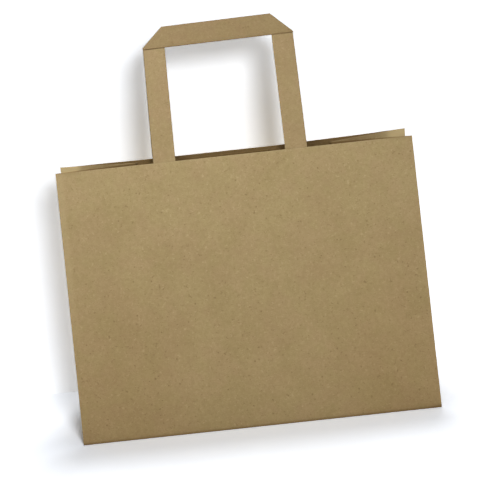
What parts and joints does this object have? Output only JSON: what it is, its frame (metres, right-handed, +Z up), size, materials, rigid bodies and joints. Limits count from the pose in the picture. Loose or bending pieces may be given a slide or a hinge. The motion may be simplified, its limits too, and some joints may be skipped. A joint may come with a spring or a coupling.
{
  "type": "paper carrier bag",
  "caption": "Standing open paper carrier bag in plain kraft, with a block bottom, folded side gussets and flat tape handles.",
  "frame": {"origin": "middle of the base, on the surface the bag stands on", "axes": "+Z up to the handles, +X along the width of the mouth, the front panel faces -Y"},
  "size_m": [0.32, 0.155, 0.3556],
  "materials": {
    "kraft_body": "uncoated matt kraft paper",
    "front_tape": "uncoated matt kraft paper in several plies",
    "rear_tape": "uncoated matt kraft paper in several plies",
    "front_patch": "uncoated matt kraft paper",
    "rear_patch": "uncoated matt kraft paper"
  },
  "bodies": {
    "root": {"bag_body": "kraft_body", "front_handle": "front_tape", "rear_handle": "rear_tape", "front_handle_patch": "front_patch", "rear_handle_patch": "rear_patch"}
  },
  "joints": []
}
